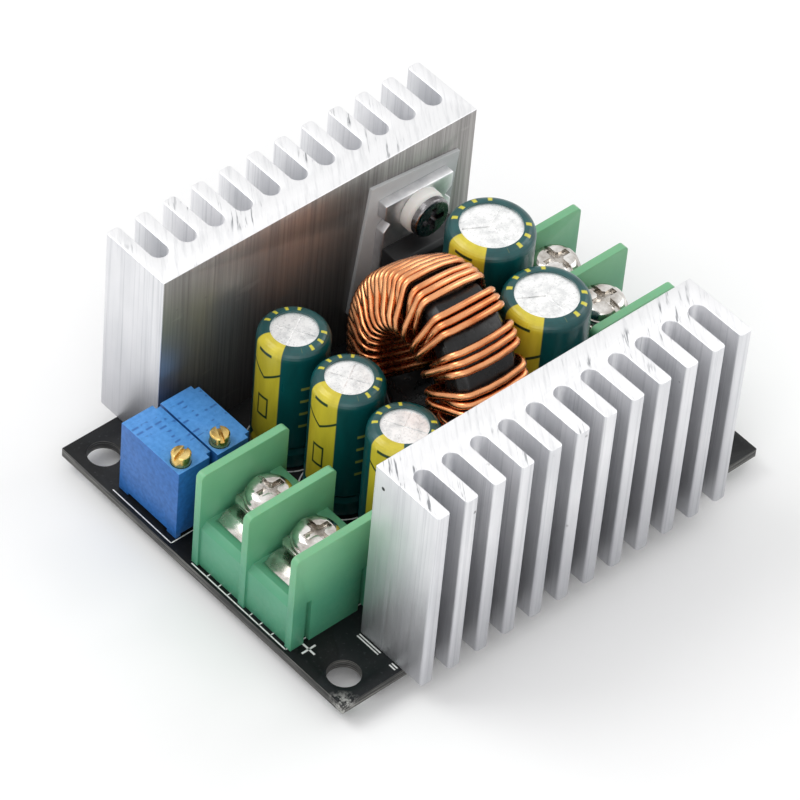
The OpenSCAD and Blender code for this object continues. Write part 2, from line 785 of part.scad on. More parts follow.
// Shrunk sleeve with a rounded shoulder that closes over the can's rim
module sleeve(i) {
    r = cap_d[i] / 2;
    inner = r - sleeve_t;
    fold = shoulder_r + sleeve_t;
    color("#12505a") at_cap(i)
    rotate_extrude()
    polygon(concat([[inner, 0], [r, 0]],
                   crimp_points(r),
                   [for (a = [0:15:90]) [r - fold + fold * cos(a), cap_h[i] - fold + fold * sin(a)]],
                   [[r - sleeve_rim, cap_h[i]], [r - sleeve_rim, cap_h[i] - sleeve_t]],
                   [for (a = [90:-15:0])
                       [r - fold + shoulder_r * cos(a), cap_h[i] - fold + shoulder_r * sin(a)]],
                   reversed(crimp_points(inner))));
}

// Rubber seal in the mouth of the can
module seal(i) {
    color("#222326") at_cap(i)
    difference() {
        cylinder(d = cap_d[i] - 2 * (sleeve_t + slip + can_wall + solder_fit), h = seal_h - solder_fit);
        for (s = [-1, 1])
            translate([s * cap_leads[i] / 2, 0, -1])
            cylinder(d = cap_lead_d + 2 * solder_fit, h = seal_h + 2, $fn = 24);
    }
}

module lead_pair(i) {
    color("#c9ccd0")
    for (p = cap_lead_at(i))
        translate([p[0], p[1], 0])
        cylinder(d = cap_lead_d, h = z_top + cap_lift[i] + seal_h - 2 * solder_fit, $fn = 24);
}

// ---- inductor: the ring's axis is Z in its own frame, and turns run round it ----

module at_core() {
    translate([core_x, core_y, core_z])
    rotate([0, 0, core_yaw])
    rotate([0, 90 + core_pitch, 0]) children();
}

module inductor_core() {
    h = core_w / 2;
    b = core_bevel;
    color("#1d1e20") at_core()
    rotate_extrude($fn = 96)
    polygon([[bore_r, -h + b], [bore_r + b, -h], [core_r - b, -h], [core_r, -h + b],
             [core_r, h - b], [core_r - b, h], [bore_r + b, h], [bore_r, h - b]]);
}

// Rotation of a point from the ring's own frame to the board's frame
function ring_to_board(p) =
    let (a = 90 + core_pitch,
         q = [p[0] * cos(a) + p[2] * sin(a), p[1], -p[0] * sin(a) + p[2] * cos(a)])
    [core_x + q[0] * cos(core_yaw) - q[1] * sin(core_yaw),
     core_y + q[0] * sin(core_yaw) + q[1] * cos(core_yaw),
     core_z + q[2]];

// Angle of turn g and strand s on the core's rim, and in its bore
function turn_angle(g) = g < open_turns
    ? first_turn - g * open_step
    : first_turn - (open_turns - 1) * open_step - 18.5 - (g - open_turns) * close_step;
function rim_angle(g, s) = turn_angle(g) - (s - (strands - 1) / 2)
    * (g < open_turns ? strand_step_open : strand_step_close);
function bore_angle(g, s) = turn_angle(g) - (s - (strands - 1) / 2) * strand_step_close;

// Point of the wire's path at an angle round the ring; angles run from the side
// at +Y over the top, and w is the place along the ring's axis
function ring_point(angle, r, w) = [-r * sin(angle), r * cos(angle), w];

// Rounded corner of the wire's path, as [angle round the ring, radius, place
// along the axis], turning from a0 while the wire moves from angle t0 to t1
function corner(r, w, a0, t0, t1) =
    [for (k = [0:2]) [t0 + (t1 - t0) * k / 2, r + path_r * cos(a0 + 45 * k), w + path_r * sin(a0 + 45 * k)]];

// Turns lie in two layers in the bore, where they are crowded
function layer(g, s) = ((g + s) % 2) * layer_rise;
function bore_corner(g, s, end, a0, t0) =
    corner(bore_r - wire_gap - layer(g, s) + path_r, end * (path_w + layer(g, s) - path_r),
           a0, t0, bore_angle(g, s));
function rim_corner(end, a0, t0, t1) =
    corner(core_r + wire_gap - path_r, end * (path_w - path_r), a0, t0, t1);
function blend(a, b, share) = a + (b - a) * share;

// The far face takes the wire on from one turn to the next
function from_far(g, s) =
    bore_corner(g, s, 1, 90,
                g > 0 ? blend(rim_angle(g - 1, s) - rim_drift, bore_angle(g, s), far_end) : bore_angle(g, s));
function to_near(g, s) =
    concat(bore_corner(g, s, -1, 180, bore_angle(g, s)),
           [[blend(bore_angle(g, s), rim_angle(g, s), 0.5), face_mid_r,
             -path_w - layer(g, s) * near_mid_layer]]);
function over_rim(g, s) =
    let (start = rim_angle(g, s), crossed = start - rim_drift, next = bore_angle(g + 1, s))
    concat(rim_corner(-1, 270, start, start),
           rim_corner(1, 0, crossed, blend(crossed, next, far_start)),
           [[blend(crossed, next, far_mid), face_mid_r, path_w + layer(g + 1, s) * far_mid_layer]]);

// Strand s as a list of [point, direction away from the core], both in the board's frame
function ring_step(p) =
    let (out = [p[1] - face_mid_r, p[2]] / norm([p[1] - face_mid_r, p[2]]))
    [ring_to_board(ring_point(p[0], p[1], p[2])),
     ring_to_board(ring_point(p[0], p[1] + out[0], p[2] + out[1]))
         - ring_to_board(ring_point(p[0], p[1], p[2]))];
function lead_angle(end, s) =
    (end > 0 ? bore_angle(0, 1) + lead_lean : bore_angle(turns - 1, 1) - lead_lean)
        - (s - (strands - 1) / 2) * lead_step;
function lead_top(end, s) = ring_to_board(ring_point(lead_angle(end, s), core_r + 1.2, end * path_w));
function lead_steps(end, s) =
    let (top = lead_top(end, s), out = end * (ring_to_board([0, 0, 1]) - ring_to_board([0, 0, 0])))
    [for (z = [0, top[2] - 1]) [[top[0], top[1], z], out]];
function face_step(end, g, s) =
    [ring_step([blend(lead_angle(end, s), bore_angle(g, s), lead_start), core_r - 0.6, end * path_w]),
     ring_step([blend(lead_angle(end, s), bore_angle(g, s), lead_mid), face_mid_r,
                end * (path_w + layer(g, s))])];
function reversed(list) = [for (i = [len(list) - 1:-1:0]) list[i]];
function strand_path(s) =
    concat(lead_steps(1, s), face_step(1, 0, s),
           [for (g = [0:turns - 1],
                 p = concat(from_far(g, s), g < turns - 1 ? concat(to_near(g, s), over_rim(g, s))
                                                         : bore_corner(g, s, -1, 180, bore_angle(g, s))))
                ring_step(p)],
           reversed(face_step(-1, turns - 1, s)), reversed(lead_steps(-1, s)));
function strand_feet() = [for (end = [-1, 1], s = [0:strands - 1]) lead_top(end, s)];

function unit(v) = v / norm(v);

// Round wire swept along a path
module swept_wire(path, d) {
    n = len(path);
    rings = [for (i = [0:n - 1])
        let (t = unit(path[min(i + 1, n - 1)][0] - path[max(i - 1, 0)][0]),
             u = unit(path[i][1] - (path[i][1] * t) * t),
             v = cross(t, u))
        for (k = [0:wire_sides - 1])
            let (a = (k + 0.5) * 360 / wire_sides)
            path[i][0] + d / 2 * (cos(a) * u + sin(a) * v)];
    sides = [for (i = [0:n - 2], k = [0:wire_sides - 1])
        let (a = i * wire_sides + k, b = i * wire_sides + (k + 1) % wire_sides)
        each [[a, a + wire_sides, b], [b, a + wire_sides, b + wire_sides]]];
    ends = [[for (k = [0:wire_sides - 1]) k],
            [for (k = [wire_sides - 1:-1:0]) (n - 1) * wire_sides + k]];
    polyhedron(rings, concat(sides, ends));
}

module inductor_winding() {
    color("#b8683a")
    for (s = [0:strands - 1]) swept_wire(strand_path(s), wire_d);
}

// ---- small parts on the board's underside ----

module under_box(x, y, size) {
    box_at([x, y, z_under - size[2]], size);
}

// Moulded chip with bent legs along both long sides
module controller_chip() {
    leg_w = 0.4;
    leg_t = 0.2;
    foot_l = 1;
    color("#222325") {
        box_at([chip_x, chip_y, z_under - chip_t - 0.1], [chip_l, chip_w, chip_t]);
        for (k = [0:chip_legs - 1], s = [-1, 1]) {
            x = chip_x + (k - (chip_legs - 1) / 2) * chip_leg_pitch;
            under_box(x, chip_y + s * (chip_w + foot_l) / 2, [leg_w, foot_l, leg_t]);
            box_at([x, chip_y + s * (chip_w + leg_t) / 2, z_under - chip_t / 2 - 0.2],
                   [leg_w, leg_t, chip_t / 2 + 0.1]);
        }
    }
}

// Low current sense resistor and a row of small ones beside the chip
module chip_resistors() {
    color("#2b2c2e") {
        under_box(chip_x, chip_y + sense_row_y, sense_resistor);
        for (k = [-1, 0, 1]) under_box(chip_x + k * small_row_step, chip_y - small_row_y, small_resistor);
    }
}

module chip_capacitors() {
    color("#b79b77")
    for (s = [-1, 1]) under_box(chip_x + s * side_capacitor_x, chip_y, small_capacitor);
}

// ---- pieces ----

circuit_board();
solder_joints();
heatsink_front();
heatsink_rear();
device_tab(0);  // device_tab_front
device_case(0);  // device_case_front
device_leads(0);  // device_leads_front
device_tab(1);  // device_tab_rear
device_case(1);  // device_case_rear
device_leads(1);  // device_leads_rear
insulating_pad(0);  // insulating_pad_front
insulating_pad(1);  // insulating_pad_rear
bushing(0);  // bushing_front
bushing(1);  // bushing_rear
device_screw(0);  // device_screw_front
device_screw(1);  // device_screw_rear
trimmer_case(0);  // trimmer_case_1
trimmer_case(1);  // trimmer_case_2
trimmer_screw(0);  // trimmer_screw_1
trimmer_screw(1);  // trimmer_screw_2
trimmer_pins(0);  // trimmer_pins_1
trimmer_pins(1);  // trimmer_pins_2
terminal_block(-1);  // output_block
terminal_block(1);  // input_block
contacts(-1);  // output_contacts
contacts(1);  // input_contacts
clamp_plate(-1, -1);  // output_clamp_1
clamp_plate(-1, 1);  // output_clamp_2
clamp_plate(1, -1);  // input_clamp_1
clamp_plate(1, 1);  // input_clamp_2
pole_screw(-1, -1);  // output_screw_1
pole_screw(-1, 1);  // output_screw_2
pole_screw(1, -1);  // input_screw_1
pole_screw(1, 1);  // input_screw_2
can(0);  // output_can_1
can(1);  // output_can_2
can(2);  // output_can_3
can(3);  // input_can_1
can(4);  // input_can_2
sleeve(0);  // output_sleeve_1
sleeve(1);  // output_sleeve_2
sleeve(2);  // output_sleeve_3
sleeve(3);  // input_sleeve_1
sleeve(4);  // input_sleeve_2
seal(0);  // output_seal_1
seal(1);  // output_seal_2
seal(2);  // output_seal_3
seal(3);  // input_seal_1
seal(4);  // input_seal_2
lead_pair(0);  // output_leads_1
lead_pair(1);  // output_leads_2
lead_pair(2);  // output_leads_3
lead_pair(3);  // input_leads_1
lead_pair(4);  // input_leads_2
inductor_core();
inductor_winding();
controller_chip();
chip_resistors();
chip_capacitors();
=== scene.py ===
import json
import math

import bpy
from bpy.props import FloatProperty, FloatVectorProperty, IntProperty, PointerProperty
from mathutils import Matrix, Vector


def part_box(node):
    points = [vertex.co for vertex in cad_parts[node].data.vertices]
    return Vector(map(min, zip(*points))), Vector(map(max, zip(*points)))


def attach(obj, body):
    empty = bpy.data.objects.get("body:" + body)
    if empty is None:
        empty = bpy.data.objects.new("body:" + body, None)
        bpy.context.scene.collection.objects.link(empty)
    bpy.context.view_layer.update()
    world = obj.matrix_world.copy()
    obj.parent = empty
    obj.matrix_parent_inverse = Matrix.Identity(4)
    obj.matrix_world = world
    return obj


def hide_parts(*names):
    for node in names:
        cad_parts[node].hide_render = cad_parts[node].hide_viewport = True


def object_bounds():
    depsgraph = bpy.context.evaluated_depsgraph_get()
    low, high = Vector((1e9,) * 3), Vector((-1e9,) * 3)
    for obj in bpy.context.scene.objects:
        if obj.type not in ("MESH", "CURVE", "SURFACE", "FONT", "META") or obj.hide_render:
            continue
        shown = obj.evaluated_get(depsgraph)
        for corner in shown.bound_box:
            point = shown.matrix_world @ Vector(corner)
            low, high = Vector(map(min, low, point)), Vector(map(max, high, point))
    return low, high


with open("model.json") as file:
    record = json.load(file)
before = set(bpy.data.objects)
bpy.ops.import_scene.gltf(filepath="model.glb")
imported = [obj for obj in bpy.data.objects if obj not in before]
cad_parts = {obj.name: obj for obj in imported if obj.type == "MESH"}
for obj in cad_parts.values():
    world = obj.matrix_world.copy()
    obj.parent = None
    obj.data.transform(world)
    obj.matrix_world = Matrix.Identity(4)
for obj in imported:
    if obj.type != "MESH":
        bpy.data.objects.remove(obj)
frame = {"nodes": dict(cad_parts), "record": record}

bl_info = {
    "name": "Step-down Converter Module",
    "version": (1, 0, 0),
    "blender": (4, 5, 0),
    "location": "View3D > Sidebar > Converter",
    "description": "Finishes and fine detail for a converter board with heatsinks, a wound ring "
                   "and terminals",
    "category": "Object",
}

MM = 0.001
CAD_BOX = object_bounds()
SLOT_OF = {part["node"]: part["material_slot"] for part in frame["record"]["subparts"]}
BODY_OF = {node: body for body, nodes in frame["record"]["behaviour"]["bodies"].items()
           for node in nodes}
BOARD_LOW, BOARD_HIGH = (Vector(corner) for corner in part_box("circuit_board"))
BOARD_TOP = BOARD_HIGH.z
FRONT_LOW, FRONT_HIGH = (Vector(corner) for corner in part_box("heatsink_front"))
# A black pit on the front heatsink's end face, near its top edge
END_PIT = (FRONT_LOW.x, FRONT_HIGH.y - 1.4 * MM, FRONT_HIGH.z - 2.4 * MM)
# An edge sharper than this many degrees is rounded and shaded as an edge
SHARP = 35


# ---- nodes and colours ----

def linear(colour):
    """sRGB hex colour, such as "#c0c4c8", as linear red, green, blue and alpha."""
    parts = [int(colour[i:i + 2], 16) / 255 for i in (1, 3, 5)]
    return [c / 12.92 if c <= 0.04045 else ((c + 0.055) / 1.055) ** 2.4 for c in parts] + [1.0]


def feed(tree, socket, value):
    """Gives an input a number, a hex colour, an output, or a node, for the first of its outputs in use."""
    if isinstance(value, bpy.types.Node):
        value = next(output for output in value.outputs if output.enabled)
    if isinstance(value, bpy.types.NodeSocket):
        tree.links.new(value, socket)
    else:
        socket.default_value = linear(value) if isinstance(value, str) else value


def add(tree, kind, *inputs, **settings):
    """Adds a node. Values in order go to the inputs that it has in use, settings in small letters are its
    options, and the other settings are inputs by name."""
    node = tree.nodes.new("ShaderNode" + kind)
    for name, value in settings.items():
        if name.islower():
            setattr(node, name, value)
    for socket, value in zip([socket for socket in node.inputs if socket.enabled], inputs):
        feed(tree, socket, value)
    for name, value in settings.items():
        if not name.islower():
            feed(tree, node.inputs[name], value)
    return node


def start_material(name, constants):
    """A new material with its shader's constants set. Returns it with its nodes, its shader and the
    object's coordinates."""
    material = bpy.data.materials.new(name)
    material.use_nodes = True
    tree = material.node_tree
    shader = tree.nodes["Principled BSDF"]
    for key, value in constants.items():
        shader.inputs[key].default_value = value
    return material, tree, shader, add(tree, "TexCoord").outputs["Object"]


def finish_surface(tree, shader, colour, roughness=None, normal=None):
    """Feeds the patterns to the shader. What isn't given stays at the shader's own value."""
    for name, value in (("Base Color", colour), ("Roughness", roughness), ("Normal", normal)):
        if value is not None:
            feed(tree, shader.inputs[name], value)


def stretched(tree, coord, scale, detail=3.0, roughness=0.55):
    """Noise with this many grains to the metre along X, Y and Z: 1000 is a grain each millimetre."""
    place = add(tree, "Mapping", coord, Scale=scale)
    return add(tree, "TexNoise", place, Scale=1.0, Detail=detail, Roughness=roughness)


def between(tree, value, low, high, edge):
    """1 where a value lies from low to high, with soft edges."""
    rise = add(tree, "MapRange", value, low - edge, low + edge)
    fall = add(tree, "MapRange", value, high - edge, high + edge, 1, 0)
    return add(tree, "Math", rise, fall, operation="MULTIPLY")


# Grains to the metre of the patterns that several finishes share
MOULD_GRAIN = (1800, 1800, 1800)
COLOUR_DRIFT = (140, 140, 140)
# Height of the fine grain that a mould leaves
MOULD_RELIEF = 0.012 * MM


# ---- finishes ----

def mill_aluminium():
    """6063 aluminium, extruded and sawn. Fine upright die lines on the sides with painted shade low down,
    faint irregular saw marks on the bright cut ends, dark pits, and a face towards the power devices
    darkened by painted shade and a painted dark reflection, with pale rubs."""
    material, tree, shader, coord = start_material("extruded_aluminium", {"Metallic": 0.9})
    place = add(tree, "SeparateXYZ", coord).outputs
    normal = add(tree, "SeparateXYZ", add(tree, "NewGeometry").outputs["True Normal"]).outputs

    # Die lines 0.4 mm wide and 40 mm long, and saw marks 0.45 mm wide and 5.5 mm long
    lines = stretched(tree, coord, (2600, 2600, 25), 4, 0.7)
    broad = stretched(tree, coord, (160, 160, 60))
    sawn = stretched(tree, add(tree, "Mapping", coord, Rotation=(0, 0, 0.6)), (2200, 180, 1), 3, 0.6)
    flat = add(tree, "MapRange", add(tree, "Math", normal["Z"], operation="ABSOLUTE"), 0.8, 0.95)
    grain = add(tree, "Mix", flat, lines, sawn, data_type="FLOAT")

    # Sides: pale and dull patches, the die lines, and painted shade low down between the fins
    sides = add(tree, "Mix", add(tree, "MapRange", broad, 0.3, 0.7), "#efeff1", "#d9dadd", data_type="RGBA")
    scored = add(tree, "MapRange", lines, 0.5, 0.75, 0, 0.5)
    sides = add(tree, "Mix", scored, sides, "#a9abb0", data_type="RGBA")
    # Painted shade: the sides grow darker towards the bottom, below 20 mm
    low = add(tree, "MapRange", place["Z"], 4 * MM, 20 * MM, 0.45, 0)
    sides = add(tree, "Mix", low, sides, "#9a9ba3", data_type="RGBA")

    # Cut ends: faint saw marks, darker where they were bruised
    marked = add(tree, "MapRange", sawn, 0.48, 0.7, 0, 0.28)
    ends = add(tree, "Mix", marked, "#f0f0f1", "#b1b3b7", data_type="RGBA")
    bruised = add(tree, "MapRange", stretched(tree, coord, (130, 130, 1), 2), 0.54, 0.62)
    bruised = add(tree, "Math", add(tree, "MapRange", sawn, 0.58, 0.64), bruised, operation="MULTIPLY")
    ends = add(tree, "Mix", bruised, ends, "#8f9195", data_type="RGBA")
    colour = add(tree, "Mix", flat, sides, ends, data_type="RGBA")

    # Rear heatsink's face towards its device: painted shade and dark reflection, die lines, pale rubs
    towards = add(tree, "MapRange", normal["Y"], -0.9, -0.8, 1, 0)
    behind = add(tree, "MapRange", place["Y"], 10 * MM, 12 * MM)
    inner = add(tree, "Math", towards, behind, operation="MULTIPLY")
    painted_dark_face_and_rubs = add(tree, "Mix", add(tree, "MapRange", lines, 0.3, 0.7), "#b9b6b4", "#868382", data_type="RGBA")
    rubs = add(tree, "MapRange", stretched(tree, coord, (120, 120, 400), 4), 0.64, 0.76, 0, 0.5)
    painted_dark_face_and_rubs = add(tree, "Mix", rubs, painted_dark_face_and_rubs, "#d6d3cf", data_type="RGBA")
    colour = add(tree, "Mix", inner, colour, painted_dark_face_and_rubs, data_type="RGBA")

    # Small pits in patches, fewer on the face towards the device, and one large pit on the front heatsink's
    # end
    specks = add(tree, "MapRange", add(tree, "TexVoronoi", coord, Scale=420), 0.06, 0.11, 1, 0)
    patches = add(tree, "MapRange", stretched(tree, coord, (240, 240, 240)), 0.6, 0.66)
    pits = add(tree, "Math", specks, patches, operation="MULTIPLY")
    pits = add(tree, "Math", pits, add(tree, "MapRange", inner, 0, 1, 1, 0.4), operation="MULTIPLY")
    dent = add(tree, "VectorMath", coord, END_PIT, operation="DISTANCE")
    dent = add(tree, "MapRange", dent, 0.2 * MM, 0.28 * MM, 1, 0)
    pits = add(tree, "Math", pits, dent, operation="MAXIMUM")
    colour = add(tree, "Mix", pits, colour, "#3a3b3d", data_type="RGBA")

    finish_surface(tree, shader, colour, add(tree, "MapRange", lines, 0.2, 0.8, 0.36, 0.55),
                   add(tree, "Bump", Height=grain, Distance=0.035 * MM, Strength=0.7))
    return material


def solder_mask():
    """Glass-epoxy board with a black mask. Copper areas show faintly under the satin mask, the cut edges
    have thin pale lines of glass on a dark ground of painted shade, and the near corner is scuffed whitish."""
    material, tree, shader, coord = start_material(
        "masked_glass_epoxy", {"Roughness": 0.45, "IOR": 1.5, "Specular IOR Level": 0.28})

    # Copper areas about 9 mm across with sharp edges, and dust of 0.4 mm
    copper = add(tree, "MapRange", stretched(tree, coord, (110, 110, 1), 1, 0.3), 0.49, 0.51)
    dust = add(tree, "MapRange", stretched(tree, coord, (2500, 2500, 2500), 2), 0.62, 0.78, 0, 0.2)
    top = add(tree, "Mix", copper, "#090a0c", "#121417", data_type="RGBA")
    top = add(tree, "Mix", dust, top, "#6d7073", data_type="RGBA")

    # Layers of glass cloth 0.11 mm thick, on the cut edges alone, over a dark ground of painted shade
    cloth_on_painted_shade = add(tree, "MapRange", stretched(tree, coord, (150, 150, 9000), 3, 0.6), 0.5, 0.68)
    cloth_on_painted_shade = add(tree, "Mix", cloth_on_painted_shade, "#2b2b2b", "#8d8c86", data_type="RGBA")
    normal = add(tree, "SeparateXYZ", add(tree, "NewGeometry").outputs["True Normal"]).outputs
    side = add(tree, "MapRange", add(tree, "Math", normal["Z"], operation="ABSOLUTE"), 0.3, 0.4, 1, 0)
    colour = add(tree, "Mix", side, top, cloth_on_painted_shade, data_type="RGBA")

    # Scuffs within 2.4 mm of the near corner
    corner = add(tree, "VectorMath", coord, (BOARD_LOW.x, BOARD_LOW.y, BOARD_HIGH.z), operation="DISTANCE")
    corner = add(tree, "MapRange", corner, 0.8 * MM, 2.4 * MM, 1, 0)
    scuffs = add(tree, "MapRange", stretched(tree, coord, (900, 900, 900), 4, 0.7), 0.45, 0.55)
    scuffs = add(tree, "Math", corner, scuffs, operation="MULTIPLY")
    colour = add(tree, "Mix", scuffs, colour, "#a9a9a5", data_type="RGBA")
    finish_surface(tree, shader, colour,
                   normal=add(tree, "Bump", Height=copper, Distance=0.03 * MM, Strength=0.5))
    return material


def board_print():
    """White epoxy legend ink, a little thin in places so that the mask shows through."""
    material, tree, shader, coord = start_material("white_legend_ink", {"Roughness": 0.6})
    thin = add(tree, "MapRange", stretched(tree, coord, (3000, 3000, 3000), 2), 0.55, 0.75)
    finish_surface(tree, shader, add(tree, "Mix", thin, "#e9eae8", "#9a9c9b", data_type="RGBA"))
    return material


def moulded(name, high, low, roughness, translucency=0.0):
    """Moulded plastic: slight colour drift and a fine mould grain that keeps the gloss uneven."""
    material, tree, shader, coord = start_material(
        name, {"IOR": 1.5, "Subsurface Weight": translucency, "Subsurface Scale": 0.6 * MM})
    drift = add(tree, "MapRange", stretched(tree, coord, COLOUR_DRIFT), 0.3, 0.7)
    fine = stretched(tree, coord, MOULD_GRAIN, 2)
    finish_surface(tree, shader, add(tree, "Mix", drift, high, low, data_type="RGBA"),
                   add(tree, "MapRange", fine, 0.25, 0.75, roughness - 0.06, roughness + 0.08),
                   add(tree, "Bump", Height=fine, Distance=MOULD_RELIEF, Strength=0.5))
    return material


def plated(name, bright, dull, roughness):
    """Plated or tinned metal: a bright skin with duller patches of 2 mm and small handling marks."""
    material, tree, shader, coord = start_material(name, {"Metallic": 1.0})
    patch = add(tree, "MapRange", stretched(tree, coord, (500, 500, 500)), 0.35, 0.7)
    marks = stretched(tree, coord, (2200, 900, 2200))
    finish_surface(tree, shader, add(tree, "Mix", patch, bright, dull, data_type="RGBA"),
                   add(tree, "MapRange", marks, 0.3, 0.7, roughness - 0.06, roughness + 0.1),
                   add(tree, "Bump", Height=marks, Distance=0.015 * MM, Strength=0.4))
    return material


def marked_case():
    """Glass-filled blue polyester: dark blue sides, a top given painted light, with dark printed strokes.
    """
    material, tree, shader, coord = start_material("pbt_blue", {"IOR": 1.5})
    place = add(tree, "SeparateXYZ", coord).outputs
    fine = stretched(tree, coord, MOULD_GRAIN, 2)
    tone = add(tree, "MapRange", fine, 0.35, 0.7)
    case = add(tree, "Mix", tone, "#2a6ab4", "#245c9e", data_type="RGBA")
    # Painted light: the top is paler than the sides, as lit from above
    painted_lit_top_and_print = add(tree, "Mix", tone, "#4f94d8", "#3f84c9", data_type="RGBA")

    # Strokes in rows 0.82 mm apart and columns 1.25 mm apart, broken up so that they say nothing
    along = add(tree, "Math", place["Y"], 0.82 * MM, operation="DIVIDE")
    along = add(tree, "Math", along, operation="FRACT")
    across = add(tree, "Math", place["X"], 1.25 * MM, operation="DIVIDE")
    across = add(tree, "Math", across, operation="FRACT")
    strokes = between(tree, along, 0.3, 0.62, 0.08)
    for mask in (between(tree, across, 0.12, 0.82, 0.06),
                 between(tree, place["Y"], 8.6 * MM, 14.2 * MM, 0.05 * MM),
                 add(tree, "MapRange", stretched(tree, coord, (520, 520, 1), 1), 0.5, 0.53)):
        strokes = add(tree, "Math", strokes, mask, operation="MULTIPLY")
    painted_lit_top_and_print = add(tree, "Mix", strokes, painted_lit_top_and_print, "#2a62a6", data_type="RGBA")

    normal = add(tree, "SeparateXYZ", add(tree, "NewGeometry").outputs["True Normal"]).outputs
    # Faces looking up take the painted lit top colour
    top = add(tree, "MapRange", normal["Z"], 0.7, 0.9)
    finish_surface(tree, shader, add(tree, "Mix", top, case, painted_lit_top_and_print, data_type="RGBA"),
                   add(tree, "MapRange", fine, 0.25, 0.75, 0.34, 0.48),
                   add(tree, "Bump", Height=fine, Distance=MOULD_RELIEF, Strength=0.5))
    return material


def terminal_green():
    """Green polyamide, a little translucent: painted light makes it paler near the top, and painted shade
    darker and bluer low on the walls.
    """
    material, tree, shader, coord = start_material(
        "pa_green", {"IOR": 1.5, "Subsurface Weight": 0.12, "Subsurface Scale": 0.6 * MM})
    fine = stretched(tree, coord, (1600, 1600, 1600), 2)
    drift = add(tree, "MapRange", stretched(tree, coord, COLOUR_DRIFT), 0.3, 0.7)
    place = add(tree, "SeparateXYZ", coord).outputs
    # Painted light and shade: paler towards the top as lit, darker and bluer low down as in shade
    pale = add(tree, "MapRange", place["Z"], 8 * MM, 17 * MM)
    high = add(tree, "Mix", pale, "#519b79", "#7dbd8e", data_type="RGBA")
    low = add(tree, "Mix", pale, "#4a9071", "#73b184", data_type="RGBA")
    finish_surface(tree, shader, add(tree, "Mix", drift, high, low, data_type="RGBA"),
                   add(tree, "MapRange", fine, 0.25, 0.75, 0.32, 0.46),
                   add(tree, "Bump", Height=fine, Distance=MOULD_RELIEF, Strength=0.5))
    return material


def enamelled_copper():
    """Copper wire under a clear enamel coat: light orange-gold with sharp highlights along each turn."""
    material, tree, shader, coord = start_material(
        "enamelled_copper", {"Metallic": 1.0, "Coat Weight": 0.3, "Coat Roughness": 0.1, "Coat IOR": 1.5})
    tone = add(tree, "MapRange", stretched(tree, coord, (260, 260, 260)), 0.3, 0.7)
    rough = stretched(tree, coord, (3000, 3000, 3000))
    finish_surface(tree, shader, add(tree, "Mix", tone, "#f5b07c", "#c97847", data_type="RGBA"),
                   add(tree, "MapRange", rough, 0.3, 0.7, 0.2, 0.32))
    return material


def core_coat():
    """Black epoxy paint over a pressed iron-powder ring: glossy, with orange-peel dimples of 1.1 mm."""
    material, tree, shader, coord = start_material(
        "epoxy_coated_core", {"IOR": 1.5, "Specular IOR Level": 0.35})
    peel = stretched(tree, coord, (900, 900, 900))
    tone = add(tree, "MapRange", peel, 0.35, 0.7)
    finish_surface(tree, shader, add(tree, "Mix", tone, "#08090a", "#151618", data_type="RGBA"),
                   add(tree, "MapRange", peel, 0.3, 0.7, 0.2, 0.38),
                   add(tree, "Bump", Height=peel, Distance=0.08 * MM, Strength=0.6))
    return material


